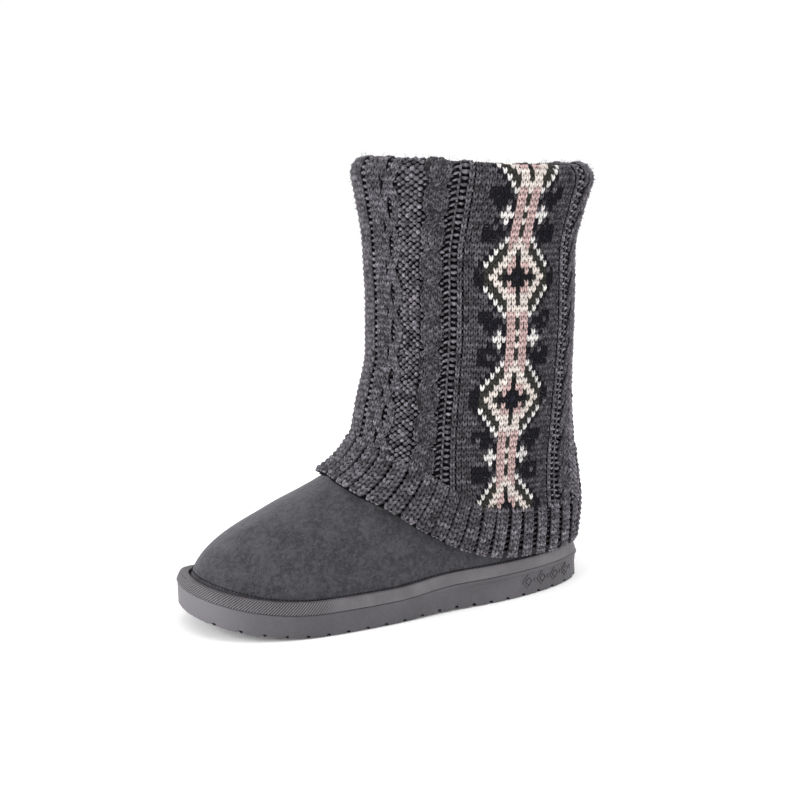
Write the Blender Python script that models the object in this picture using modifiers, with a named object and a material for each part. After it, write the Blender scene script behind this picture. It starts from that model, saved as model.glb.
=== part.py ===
"""Mukluk boot for the left foot: suede upper, knitted sleeve, insole, welt and grooved outsole.

Metres. +X points to the toe, +Y to the outer side of the left foot, +Z up. While the pieces are
shaped, x is counted from the back of the heel; at the end the boot is centred on the origin.
"""

import math

import bmesh
import bpy
import numpy as np
from mathutils import Matrix, Vector

# Sole
SOLE_LENGTH = 0.280
BALL_WIDTH = 0.1035
OUTER_SHARE = 0.507
HEEL_SIDE = 0.0178
BALL_SIDE = 0.0150
SIDE_DRAFT = 0.0008
BOTTOM_EDGE = 0.0014
TOP_EDGE = 0.0006
ARCH_RISE = 0.0015
ARCH_CENTRE = 0.43
ARCH_SPAN = 0.26
TOE_SPRING = 0.0125
SPRING_START = 0.72
TOE_SWING = 0.0040
SWING_START = 0.55
HEEL_HOLLOW = 0.0008
PANEL_STEP = 0.0006
PANEL_TOP = 0.0030
PANEL_START = 0.48
GROOVE_COUNT = 22
GROOVE_PITCH = 0.0130
GROOVE_WIDTH = 0.0024
GROOVE_DEPTH = 0.0021
FIRST_GROOVE = 0.0095

# Welt
WELT_HEIGHT = 0.0070
WELT_LEDGE = 0.0066
WELT_SLANT = 0.0024
WELT_CROWN = 0.0008
WELT_RIB_COUNT = 108
WELT_RIB_RISE = 0.0005
WELT_RIB_SPAN = 0.30

# Upper and insole
BOOT_HEIGHT = 0.287
INSTEP_HEIGHT = 0.127
LEVEL_SHARE = 0.47
SHAFT_DEPTH = 0.134
SHAFT_WIDTH = 0.104
SHAFT_AXIS = 0.0785
WALL = 0.0022
INSOLE_THICKNESS = 0.0040
INSOLE_EDGE = 0.0007

# Knitted sleeve
KNIT = 0.0046
FOLD_KNIT = 0.0040
FOLD_LENGTH = 0.035
COLLAR_RISE = 0.0100
COLLAR_SWELL = 0.0030
COLLAR_SWELL_LENGTH = 0.045
RIB_BAND = 0.0275
RIB_COUNT = 60
RIB_RISE = 0.0012
CABLE_RISE = 0.0013

# Clearances
GAP = 0.0003
INSOLE_GAP = 0.0008
KNIT_GAP = 0.0006
FOLD_GAP = 0.0009

UPPER_COLUMNS = RIB_COUNT
SOLE_COLUMNS = 64
DENSE = 160

# Outline of the sole and of the foot: where it is widest and how far its waist draws in, as
# shares of its own length and half width.
WAIST_CENTRE = 0.42
WAIST_SPREAD = 0.14
SOLE_SHAPE = {
    "widest": 0.70,
    "back_round": 2.7,
    "front_round": 2.3,
    "outer_waist": 0.053,
    "inner_waist": 0.117,
}

SECTION_COLUMNS = (
    "height", "back", "front", "widest", "outer", "inner", "back_round", "front_round",
    "outer_waist", "inner_waist",
)

# Level sections of the foot, from the seat on the outsole up. Heights are shares of the way from
# the seat to INSTEP_HEIGHT, back and front of the seat's length, outer and inner of its half widths.
FOOT_SECTIONS = (
    (0.000, 0.000, 1.000, 0.70, 1.000, 1.000, 2.7, 2.3, 0.053, 0.117),
    (0.073, -0.007, 0.994, 0.70, 1.019, 1.016, 2.7, 2.3, 0.050, 0.110),
    (0.160, -0.017, 0.982, 0.69, 1.024, 1.011, 2.6, 2.3, 0.045, 0.095),
    (0.254, -0.024, 0.955, 0.67, 1.006, 0.988, 2.5, 2.3, 0.040, 0.080),
    (0.359, -0.023, 0.903, 0.63, 0.970, 0.950, 2.4, 2.2, 0.030, 0.060),
    (0.475, -0.017, 0.798, 0.58, 0.936, 0.932, 2.3, 2.1, 0.020, 0.040),
    (0.604, -0.006, 0.655, 0.54, 0.938, 0.946, 2.2, 2.1, 0.010, 0.020),
    (0.743, 0.008, 0.586, 0.51, 0.965, 0.988, 2.1, 2.0, 0.000, 0.000),
    (0.883, 0.021, 0.556, 0.50, 1.015, 1.044, 2.0, 2.0, 0.000, 0.000),
)

# Level sections of the shaft. Heights are shares of the shaft above INSTEP_HEIGHT, back and front
# of SHAFT_DEPTH from SHAFT_AXIS, outer and inner half widths of SHAFT_WIDTH.
SHAFT_SECTIONS = (
    (0.00, -0.490, 0.560, 0.50, 0.474, 0.474, 2.0, 2.0, 0.0, 0.0),
    (0.08, -0.496, 0.520, 0.50, 0.486, 0.486, 2.0, 2.0, 0.0, 0.0),
    (0.25, -0.496, 0.490, 0.50, 0.498, 0.498, 2.0, 2.0, 0.0, 0.0),
    (0.60, -0.490, 0.496, 0.50, 0.500, 0.500, 2.0, 2.0, 0.0, 0.0),
    (0.80, -0.520, 0.520, 0.50, 0.510, 0.510, 2.0, 2.0, 0.0, 0.0),
    (1.00, -0.560, 0.550, 0.50, 0.530, 0.530, 2.0, 2.0, 0.0, 0.0),
)

# The sleeve's lower edge, by the share of the way round from the front over the outer side: its
# height as a share of the way from the seat to INSTEP_HEIGHT. The inner side mirrors it.
HEM_LINE = (
    (0.00, 0.605),
    (0.04, 0.583),
    (0.08, 0.550),
    (0.12, 0.514),
    (0.16, 0.469),
    (0.20, 0.402),
    (0.24, 0.320),
    (0.28, 0.225),
    (0.32, 0.149),
    (0.36, 0.114),
    (0.42, 0.097),
    (0.50, 0.093),
)

# The collar, by the share of the way round from the front over the outer side: how far it sags
# below BOOT_HEIGHT, as a share of COLLAR_RISE, and how much it swells, as a share of COLLAR_SWELL.
COLLAR_LINE = (
    (0.00, 0.00, 1.0),
    (0.12, 0.08, 1.0),
    (0.25, 0.45, 1.2),
    (0.38, 0.62, 1.9),
    (0.50, 0.75, 2.4),
    (0.62, 1.00, 1.9),
    (0.75, 1.00, 1.2),
    (0.88, 0.50, 1.0),
    (1.00, 0.00, 1.0),
)

# Raised cables of the sleeve: centre and width as shares of the way round from the front over
# the outer side.
CABLES = (
    (0.047, 0.056),
    (0.123, 0.032),
    (0.424, 0.032),
    (0.500, 0.056),
    (0.576, 0.032),
    (0.660, 0.056),
    (0.740, 0.032),
    (0.800, 0.056),
    (0.877, 0.032),
    (0.953, 0.056),
)


def monotone_curve(xs, ys, x):
    """Values at x of a smooth curve through the table that never overshoots its points."""
    xs = np.asarray(xs, float)
    ys = np.asarray(ys, float)
    step = np.diff(xs)
    rise = np.diff(ys) / step
    slope = np.zeros(len(xs))
    for i in range(1, len(xs) - 1):
        if rise[i - 1] * rise[i] > 0:
            before = 2 * step[i] + step[i - 1]
            after = step[i] + 2 * step[i - 1]
            slope[i] = (before + after) / (before / rise[i - 1] + after / rise[i])
    slope[0] = rise[0]
    slope[-1] = rise[-1]
    x = np.clip(np.asarray(x, float), xs[0], xs[-1])
    i = np.clip(np.searchsorted(xs, x, side="right") - 1, 0, len(xs) - 2)
    t = (x - xs[i]) / step[i]
    start = (1 + 2 * t) * (1 - t) ** 2 * ys[i] + t * (1 - t) ** 2 * step[i] * slope[i]
    end = t * t * (3 - 2 * t) * ys[i + 1] + t * t * (t - 1) * step[i] * slope[i + 1]
    return start + end


def table_curve(table, x, column=1):
    """A column of a table read as a smooth curve over its first column."""
    return float(monotone_curve([row[0] for row in table], [row[column] for row in table], x))


def bump(distance, width):
    """A smooth hump, 1 in the middle and 0 from half the width outwards."""
    t = np.clip(np.abs(distance) / (width / 2), 0, 1)
    return (1 - t * t) ** 2


def ramp(share, start):
    """0 up to a start, then straight up to 1 at the toe."""
    return np.clip((share - start) / (1 - start), 0, 1)


def centre_line(x):
    """The last's own curve: the toe swings to the inner side."""
    return -TOE_SWING * ramp(x / SOLE_LENGTH, SWING_START) ** 2


def bottom_height(x):
    """Height of the tread above the floor: flat heel and ball, low arch, toe spring."""
    share = x / SOLE_LENGTH
    arch = ARCH_RISE * bump(share - ARCH_CENTRE, ARCH_SPAN)
    return arch + TOE_SPRING * ramp(share, SPRING_START) ** 2


def side_height(x):
    """Height of the outsole's side, thicker under the heel."""
    heights = (HEEL_SIDE, HEEL_SIDE, BALL_SIDE, BALL_SIDE)
    return monotone_curve((0.0, 0.28, 0.55, 1.0), heights, x / SOLE_LENGTH)


def seat_height(x):
    """Height of the outsole's top, on which welt, upper and insole stand."""
    return bottom_height(x) + side_height(x)


def plan_half(section, side, along):
    """Half width of a level section at shares of its length from the back."""
    widest = section["widest"]
    behind = along < widest
    t = np.where(behind, (widest - along) / widest, (along - widest) / (1 - widest))
    power = np.where(behind, section["back_round"], section["front_round"])
    half = section[side] * np.maximum(1 - t**power, 0) ** (1 / power)
    waist = np.exp(-(((along - WAIST_CENTRE) / WAIST_SPREAD) ** 2))
    return half * (1 - section[side + "_waist"] * waist)


def plan_points(section, turns):
    """Points of a level section: turn 0 is the front, 0.25 the outer side, 0.5 the back."""
    along = (1 + np.cos(np.linspace(0, math.pi, DENSE))) / 2
    x = section["back"] + (section["front"] - section["back"]) * along
    halves = []
    for side, sign in (("outer", 1), ("inner", -1)):
        y = centre_line(x) + sign * plan_half(section, side, along)
        run = np.concatenate([[0], np.cumsum(np.hypot(np.diff(x), np.diff(y)))])
        halves.append((run / run[-1], x, y))
    turns = np.asarray(turns) % 1
    share = np.where(turns <= 0.5, 2 * turns, 2 * (1 - turns))
    outer, inner = [(np.interp(share, h[0], h[1]), np.interp(share, h[0], h[2])) for h in halves]
    x = np.where(turns <= 0.5, outer[0], inner[0])
    y = np.where(turns <= 0.5, outer[1], inner[1])
    return np.stack([x, y], axis=-1)


def inset_outline(points, inset):
    """The closed outline moved inwards by inset, square to itself."""
    along = np.roll(points, -1, axis=0) - np.roll(points, 1, axis=0)
    normal = np.stack([along[:, 1], -along[:, 0]], axis=-1)
    normal /= np.linalg.norm(normal, axis=1)[:, None]
    centre = points.mean(axis=0)
    outward = np.sign(np.sum(normal * (points - centre), axis=1).sum())
    return points - outward * normal * np.asarray(inset).reshape(-1, 1)


def sole_halves():
    """The sole's widest half widths, on the outer and the inner side."""
    return BALL_WIDTH * OUTER_SHARE, BALL_WIDTH * (1 - OUTER_SHARE)


def rise_above_seat(share):
    """Height at a share of the way from the seat to the instep."""
    seat = HEEL_SIDE + GAP
    return seat + share * (INSTEP_HEIGHT - seat)


def sole_outline(turns):
    """The sole's widest outline, which is the lower edge of the welt."""
    outer, inner = sole_halves()
    section = {"back": 0.0, "front": SOLE_LENGTH, "outer": outer, "inner": inner, **SOLE_SHAPE}
    return plan_points(section, turns)


def section_table():
    """All level sections of the upper in metres, a named column each."""
    rows = []
    seat_length = SOLE_LENGTH - 2 * WELT_LEDGE
    outer_half, inner_half = sole_halves()
    for row in FOOT_SECTIONS:
        height, back, front, widest, outer, inner, *rest = row
        rows.append((rise_above_seat(height), WELT_LEDGE + back * seat_length,
                     WELT_LEDGE + front * seat_length, widest, outer * (outer_half - WELT_LEDGE),
                     inner * (inner_half - WELT_LEDGE), *rest))
    shaft = BOOT_HEIGHT - INSTEP_HEIGHT
    for row in SHAFT_SECTIONS:
        height, back, front, widest, outer, inner, *rest = row
        rows.append((INSTEP_HEIGHT + height * shaft, SHAFT_AXIS + back * SHAFT_DEPTH,
                     SHAFT_AXIS + front * SHAFT_DEPTH, widest, outer * SHAFT_WIDTH,
                     inner * SHAFT_WIDTH, *rest))
    return {name: [row[i] for row in rows] for i, name in enumerate(SECTION_COLUMNS)}


class Skin:
    """The upper's outer surface, sampled on a fine grid of turns and heights."""

    def __init__(self):
        table = section_table()
        self.base = rise_above_seat(0)
        level = rise_above_seat(LEVEL_SHARE)
        self.heights = np.linspace(self.base, BOOT_HEIGHT + COLLAR_RISE, 150)
        self.turns = np.linspace(0, 1, 193)
        columns = {
            name: monotone_curve(table["height"], table[name], self.heights)
            for name in SECTION_COLUMNS[1:]
        }
        layers = []
        for i, height in enumerate(self.heights):
            section = {name: values[i] for name, values in columns.items()}
            plan = plan_points(section, self.turns)
            sink = max(0.0, (level - height) / (level - self.base)) ** 2
            z = height + sink * (seat_height(plan[:, 0]) - HEEL_SIDE)
            layers.append(np.concatenate([plan, z[:, None]], axis=1))
        self.grid = np.array(layers)
        up = np.gradient(self.grid, axis=0)
        closed = np.concatenate([self.grid[:, -2:-1], self.grid, self.grid[:, 1:2]], axis=1)
        around = closed[:, 2:] - closed[:, :-2]
        normal = np.cross(around, up)
        normal /= np.linalg.norm(normal, axis=2)[:, :, None]
        self.normal = normal
        steps = np.linalg.norm(np.diff(self.grid, axis=0), axis=2)
        self.run = np.concatenate([np.zeros((1, len(self.turns))), np.cumsum(steps, axis=0)])

    def cell(self, turn, height):
        """Grid cell and the shares inside it."""
        across = (turn % 1) * (len(self.turns) - 1)
        span = self.heights[-1] - self.heights[0]
        up = np.clip((height - self.heights[0]) / span, 0, 1) * (len(self.heights) - 1)
        j = int(min(across, len(self.turns) - 2))
        i = int(min(up, len(self.heights) - 2))
        return i, j, up - i, across - j

    def blend(self, values, turn, height):
        """Bilinear reading of a grid."""
        i, j, v, u = self.cell(turn, height)
        low = values[i, j] * (1 - u) + values[i, j + 1] * u
        high = values[i + 1, j] * (1 - u) + values[i + 1, j + 1] * u
        return low * (1 - v) + high * v

    def point(self, turn, height, depth=0.0):
        """A point of the surface, moved outwards by depth."""
        place = self.blend(self.grid, turn, height)
        if depth:
            normal = self.blend(self.normal, turn, height)
            place = place + depth * normal / np.linalg.norm(normal)
        return Vector(place)

    def height_after(self, turn, height, distance):
        """Height reached by walking a distance up the surface from a height."""
        i, j, v, u = self.cell(turn, height)
        column = self.run[:, j] * (1 - u) + self.run[:, j + 1] * u
        start = np.interp(height, self.heights, column)
        return float(np.interp(start + distance, column, self.heights))

    def distance_between(self, turn, low, high):
        """Length of the surface between two heights."""
        i, j, v, u = self.cell(turn, low)
        column = self.run[:, j] * (1 - u) + self.run[:, j + 1] * u
        return float(np.interp(high, self.heights, column) - np.interp(low, self.heights, column))


SKIN = Skin()


def fold_turn(turn):
    """Share of the way from the front to the back on either side."""
    turn = turn % 1
    return min(turn, 1 - turn)


def hem_height(turn):
    """Height of the sleeve's lower edge."""
    return rise_above_seat(table_curve(HEM_LINE, fold_turn(turn)))


def collar_height(turn):
    """Height of the top of the collar's roll."""
    return BOOT_HEIGHT - COLLAR_RISE * table_curve(COLLAR_LINE, turn % 1)


def collar_swell(turn):
    """How far the rolled collar stands out beyond the wall below it."""
    return COLLAR_SWELL * table_curve(COLLAR_LINE, turn % 1, column=2)


def upper_top(turn):
    """Height of the upper's own top edge, inside the roll."""
    return collar_height(turn) - COLLAR_RISE - KNIT_GAP


def covered_height(turn, share):
    """Height at a share of the way from the hem to the upper's top edge."""
    low = hem_height(turn)
    span = SKIN.distance_between(turn, low, upper_top(turn))
    return SKIN.height_after(turn, low, share * span)


def loft(rings, close=False):
    """Closed rings of points joined in order; close joins the last ring to the first.

    A ring may have twice or half the points of its neighbour.
    """
    shape = bmesh.new()
    rows = [[shape.verts.new(p) for p in ring] for ring in rings]
    pairs = list(zip(rows, rows[1:]))
    if close:
        pairs.append((rows[-1], rows[0]))
    for low, high in pairs:
        count = min(len(low), len(high))
        for i in range(count):
            j = (i + 1) % count
            if len(low) == len(high):
                shape.faces.new((low[i], low[j], high[j], high[i]))
            elif len(low) > len(high):
                middle = low[2 * i + 1]
                shape.faces.new((low[2 * i], middle, high[i]))
                shape.faces.new((middle, low[2 * j], high[j], high[i]))
            else:
                middle = high[2 * i + 1]
                shape.faces.new((low[i], middle, high[2 * i]))
                shape.faces.new((low[i], low[j], high[2 * j], middle))
    bmesh.ops.triangulate(shape, faces=shape.faces, quad_method="SHORT_EDGE")
    return shape, rows


def cap_across(shape, ring, flip):
    """Closes a ring with strips from its outer side over to its inner side."""
    count = len(ring)
    for i in range(count // 2):
        a, b = ring[i], ring[i + 1]
        c, d = ring[(count - i - 1) % count], ring[(count - i) % count]
        corners = []
        for vert in (a, b, c, d):
            if vert not in corners:
                corners.append(vert)
        if len(corners) > 2:
            shape.faces.new(corners[::-1] if flip else corners)


def add_object(name, shape, collection, material):
    """Turns a bmesh into a named object with outward faces."""
    bmesh.ops.recalc_face_normals(shape, faces=shape.faces)
    mesh = bpy.data.meshes.new(name)
    shape.to_mesh(mesh)
    shape.free()
    thing = bpy.data.objects.new(name, mesh)
    collection.objects.link(thing)
    if material:
        mesh.materials.append(material)
        mesh.shade_smooth()
        mesh.set_sharp_from_angle(angle=math.radians(35))
    return thing


def make_material(name, colour, roughness):
    """A plain Principled material."""
    material = bpy.data.materials.new(name)
    material.use_nodes = True
    shader = material.node_tree.nodes["Principled BSDF"]
    shader.inputs["Base Color"].default_value = (*colour, 1)
    shader.inputs["Roughness"].default_value = roughness
    shader.inputs["Metallic"].default_value = 0.0
    return material


def make_outsole(parts, cutters):
    """Grooved rubber outsole: rounded lower edge, drafted side with the heel panel's step, flat seat."""
    turns = np.arange(SOLE_COLUMNS) / SOLE_COLUMNS
    outline = sole_outline(turns)
    x = outline[:, 0]
    share = x / SOLE_LENGTH
    panel = PANEL_STEP * np.clip((PANEL_START - share) / 0.02, 0, 1)
    heel_hollow = HEEL_HOLLOW * np.clip(1 - share / 0.06, 0, 1)
    side = side_height(x)
    levels = (
        (0.0 * side, SIDE_DRAFT + BOTTOM_EDGE + 0 * side),
        (BOTTOM_EDGE * 0.35 + 0 * side, SIDE_DRAFT * 0.6 + BOTTOM_EDGE * 0.3 + 0 * side),
        (BOTTOM_EDGE + 0 * side, SIDE_DRAFT * 0.45 + panel),
        (side * 0.55, SIDE_DRAFT * 0.35 + panel + heel_hollow),
        (side - PANEL_TOP, SIDE_DRAFT * 0.3 + panel),
        (side - PANEL_TOP + PANEL_STEP, SIDE_DRAFT * 0.3 + 0 * side),
        (side - TOP_EDGE, SIDE_DRAFT * 0.25 + 0 * side),
        (side, SIDE_DRAFT * 0.25 + TOP_EDGE + 0 * side),
    )
    rings = []
    for rise, inset in levels:
        plan = inset_outline(outline, inset)
        z = bottom_height(plan[:, 0]) + rise
        rings.append([Vector((px, py, pz)) for (px, py), pz in zip(plan, z)])
    shape, rows = loft(rings)
    cap_across(shape, rows[0], flip=True)
    cap_across(shape, rows[-1], flip=False)
    rubber = make_material("sole rubber", (0.12, 0.118, 0.122), 0.75)
    outsole = add_object("outsole", shape, parts, rubber)

    grooves = bmesh.new()
    for i in range(GROOVE_COUNT):
        gx = FIRST_GROOVE + i * GROOVE_PITCH
        if gx > SOLE_LENGTH - GROOVE_WIDTH:
            break
        ahead = gx + GROOVE_WIDTH
        slope = float(bottom_height(ahead) - bottom_height(gx)) / GROOVE_WIDTH
        height = 2 * GROOVE_DEPTH
        place = Matrix.Translation((gx, 0, float(bottom_height(gx)) + GROOVE_DEPTH - height / 2))
        turn = Matrix.Rotation(-math.atan(slope), 4, "Y")
        size = Matrix.Diagonal((GROOVE_WIDTH, 1.4 * BALL_WIDTH, height, 1))
        bmesh.ops.create_cube(grooves, size=1, matrix=place @ turn @ size)
    cutter = add_object("groove cutters", grooves, cutters, None)
    cutter.hide_render = True
    cutter.display_type = "WIRE"
    cut = outsole.modifiers.new("grooves", "BOOLEAN")
    cut.operation = "DIFFERENCE"
    cut.solver = "EXACT"
    cut.object = cutter
    return outsole


def make_welt(parts):
    """Rubber rim that hides the joint, with a slanted face and diagonal ribs round the toe."""
    count = 2 * WELT_RIB_COUNT
    span = WELT_RIB_SPAN
    ribbed = (2 * np.arange(count) / count - 1) * span
    smooth = np.arange(UPPER_COLUMNS) / UPPER_COLUMNS
    smooth = smooth[(smooth >= span) & (smooth < 1 - span)]
    turns = np.concatenate([ribbed, smooth])
    ridge = np.zeros(len(turns))
    fade = np.clip((span - np.abs(ribbed)) / (0.3 * span), 0, 1)
    ridge[:count] = WELT_RIB_RISE * fade * (np.arange(count) % 2)
    slant = 0.9 * span / WELT_RIB_COUNT * np.sign(turns) * (np.abs(turns) < span)
    rings = []
    for rise, inset, raised, shift in (
        (0.0, 0.0, 1, 0),
        (WELT_HEIGHT - WELT_CROWN, WELT_SLANT, 1, 1),
        (WELT_HEIGHT, WELT_SLANT + WELT_CROWN, 0, 1),
    ):
        skewed = turns + shift * slant * 0.5
        plan = inset_outline(sole_outline(skewed), inset - raised * ridge)
        z = seat_height(plan[:, 0]) + GAP + rise
        rings.append([Vector((px, py, pz)) for (px, py), pz in zip(plan, z)])
    for rise in (WELT_HEIGHT, 0.0):
        ring = []
        for turn in turns:
            foot = SKIN.point(turn, SKIN.base + rise, 2 * GAP)
            foot.z = float(seat_height(foot.x)) + GAP + rise
            ring.append(foot)
        rings.append(ring)
    shape, rows = loft(rings, close=True)
    return add_object("welt", shape, parts, make_material("welt rubber", (0.17, 0.168, 0.172), 0.7))


def make_upper(parts):
    """Suede upper: foot and shaft in one hollow wall, open at the collar and underneath."""
    turns = np.arange(UPPER_COLUMNS) / UPPER_COLUMNS
    below = (0.0, 0.10, 0.22, 0.36, 0.53, 0.75)
    covered = upper_levels()
    rings = []
    for share in below:
        ring = []
        for turn in turns:
            height = SKIN.base + share * (hem_height(turn) - SKIN.base)
            ring.append(SKIN.point(turn, height))
        rings.append(ring)
    for share in covered:
        rings.append([SKIN.point(turn, covered_height(turn, share)) for turn in turns])
    shape, rows = loft(rings)
    suede = make_material("suede", (0.075, 0.074, 0.080), 0.95)
    upper = add_object("upper", shape, parts, suede)
    wall = upper.modifiers.new("wall", "SOLIDIFY")
    wall.thickness = WALL
    wall.offset = -1
    wall.use_even_offset = False
    return upper


def upper_levels():
    """Shares of the covered part of the upper at which upper and sleeve both have a ring."""
    return (0.0, 0.09, 0.18, 0.29, 0.43, 0.62, 0.84, 1.0)


def make_insole(parts):
    """Insole board and sock in one, lying on the outsole inside the upper."""
    turns = np.arange(UPPER_COLUMNS) / UPPER_COLUMNS
    rings = []
    for rise, inset in (
        (0.0, INSOLE_EDGE),
        (INSOLE_THICKNESS - INSOLE_EDGE, 0.0),
        (INSOLE_THICKNESS, INSOLE_EDGE),
    ):
        ring = []
        for turn in turns:
            place = SKIN.point(turn, SKIN.base + rise, -(WALL + INSOLE_GAP + inset))
            place.z = float(seat_height(place.x)) + GAP + rise
            ring.append(place)
        rings.append(ring)
    shape, rows = loft(rings)
    cap_across(shape, rows[0], flip=True)
    cap_across(shape, rows[-1], flip=False)
    return add_object("insole", shape, parts, make_material("insole cloth", (0.30, 0.28, 0.26), 0.9))


def sleeve_depth(turn, distance, from_top):
    """Outer depth of the knit above the ribs: cables, and a swelling at the collar."""
    cable = max(float(bump((turn - centre + 0.5) % 1 - 0.5, width)) for centre, width in CABLES)
    depth = KNIT + CABLE_RISE * cable * min(1.0, (distance - RIB_BAND) / KNIT)
    swell = max(0.0, 1 - from_top / COLLAR_SWELL_LENGTH)
    return depth + collar_swell(turn) * swell**1.5


def hem_rings(turns):
    """The ribbed band: every second column stands out as a rib."""
    rings = []
    for distance, thickness, rise in (
        (0.0, 0.65 * KNIT, 0.0),
        (0.5 * KNIT, KNIT, RIB_RISE),
        (0.5 * RIB_BAND, KNIT, RIB_RISE),
        (RIB_BAND, KNIT, RIB_RISE),
    ):
        ring = []
        for i, turn in enumerate(turns):
            height = SKIN.height_after(turn, hem_height(turn), distance)
            rib = rise * ((i + 1) % 2)
            ring.append(SKIN.point(turn, height, thickness + rib))
        rings.append(ring)
    return rings


def wall_rings(turns):
    """The cabled wall from the ribs up to the level of the upper's top edge."""
    start = RIB_BAND + 0.5 * KNIT
    rings = []
    for share in (0.0, 0.14, 0.30, 0.48, 0.68, 0.86, 1.0):
        ring = []
        for turn in turns:
            low = SKIN.height_after(turn, hem_height(turn), start)
            span = SKIN.distance_between(turn, low, upper_top(turn))
            height = SKIN.height_after(turn, low, share * span)
            depth = sleeve_depth(turn, start + share * span, (1 - share) * span)
            ring.append(SKIN.point(turn, height, depth))
        rings.append(ring)
    return rings


def roll_rings(turns, inside):
    """The roll over the collar, as an arch from the outer wall to the fold."""
    rings = []
    for angle in (35, 70, 105, 140):
        ring = []
        for turn in turns:
            outside = KNIT + collar_swell(turn)
            middle = (outside - inside) / 2
            reach = (outside + inside) / 2
            rise = COLLAR_RISE * math.sin(math.radians(angle))
            depth = middle + reach * math.cos(math.radians(angle))
            ring.append(SKIN.point(turn, upper_top(turn) + KNIT_GAP + rise, depth))
        rings.append(ring)
    return rings


def make_sleeve(parts):
    """Knitted sleeve: ribbed hem, cabled wall, rolled over the collar and folded down inside."""
    fine = np.arange(2 * RIB_COUNT) / (2 * RIB_COUNT)
    coarse = np.arange(UPPER_COLUMNS) / UPPER_COLUMNS
    back_face = WALL + FOLD_GAP
    inside = back_face + FOLD_KNIT
    rings = [[SKIN.point(t, hem_height(t), KNIT_GAP) for t in coarse]]
    rings += hem_rings(fine)
    rings += wall_rings(coarse)
    rings += roll_rings(coarse, inside)
    edge = 0.4 * FOLD_KNIT
    for drop, depth in (
        (0.0, inside),
        (FOLD_LENGTH - edge, inside),
        (FOLD_LENGTH, inside - edge),
        (FOLD_LENGTH, back_face),
        (0.0, back_face),
    ):
        rings.append([SKIN.point(t, upper_top(t) - drop, -depth) for t in coarse])
    for depth in (-back_face, KNIT_GAP):
        rings.append([SKIN.point(t, upper_top(t) + 2 * KNIT_GAP, depth) for t in coarse])
    for share in upper_levels()[:0:-1]:
        rings.append([SKIN.point(t, covered_height(t, share), KNIT_GAP) for t in coarse])
    shape, rows = loft(rings, close=True)
    yarn = make_material("heather yarn", (0.085, 0.083, 0.088), 0.95)
    return add_object("knit_sleeve", shape, parts, yarn)


def origin_shift(pieces):
    """The move that brings the middle of the boot's box over the origin."""
    corners = []
    for piece in pieces:
        corners += [np.array(vert.co) for vert in piece.data.vertices]
    low = np.min(corners, axis=0)
    high = np.max(corners, axis=0)
    middle = (low + high) / 2
    return Vector((-middle[0], -middle[1], 0.0))


def main():
    for thing in list(bpy.data.objects):
        bpy.data.objects.remove(thing)
    parts = bpy.data.collections.new("mukluk boot")
    cutters = bpy.data.collections.new("cutters")
    bpy.context.scene.collection.children.link(parts)
    bpy.context.scene.collection.children.link(cutters)
    make_outsole(parts, cutters)
    make_welt(parts)
    make_upper(parts)
    make_insole(parts)
    make_sleeve(parts)
    shift = origin_shift(parts.objects)
    for thing in list(parts.objects) + list(cutters.objects):
        thing.location = shift


main()
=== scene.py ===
import math

import bpy
import numpy as np
from mathutils import Matrix, Vector
from mathutils.bvhtree import BVHTree
from mathutils.kdtree import KDTree


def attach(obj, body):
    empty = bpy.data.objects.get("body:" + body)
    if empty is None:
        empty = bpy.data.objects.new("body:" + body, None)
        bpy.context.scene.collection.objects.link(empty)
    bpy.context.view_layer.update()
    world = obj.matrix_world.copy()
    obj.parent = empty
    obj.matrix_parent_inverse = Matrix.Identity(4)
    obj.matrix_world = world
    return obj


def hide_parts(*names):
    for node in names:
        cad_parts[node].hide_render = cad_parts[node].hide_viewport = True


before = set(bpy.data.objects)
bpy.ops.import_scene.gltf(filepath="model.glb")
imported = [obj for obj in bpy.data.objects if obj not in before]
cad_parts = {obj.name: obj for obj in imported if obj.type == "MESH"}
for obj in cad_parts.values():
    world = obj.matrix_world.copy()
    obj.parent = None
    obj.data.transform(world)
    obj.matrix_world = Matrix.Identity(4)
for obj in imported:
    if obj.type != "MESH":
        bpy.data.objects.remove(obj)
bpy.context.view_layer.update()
bpy.ops.object.select_all(action="DESELECT")


# The set: a pale floor with a pale room round it, a broad soft light over the toe and two weaker
# ones, above and over the heel. The camera stands low and looks at the outer side, a little from
# the toe.

class Shade:
    """A socket of a finish. Sums and products of shades add the Math nodes they need."""

    def __init__(self, finish, socket):
        self.finish = finish
        self.socket = socket

    def maths(self, operation, *values):
        return self.finish.add("ShaderNodeMath", {"operation": operation}, dict(enumerate(values)))

    def __add__(self, other):
        return self.maths("ADD", self, other)

    def __sub__(self, other):
        return self.maths("SUBTRACT", self, other)

    def __rsub__(self, other):
        return self.maths("SUBTRACT", other, self)

    def __mul__(self, other):
        return self.maths("MULTIPLY", self, other)


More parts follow.
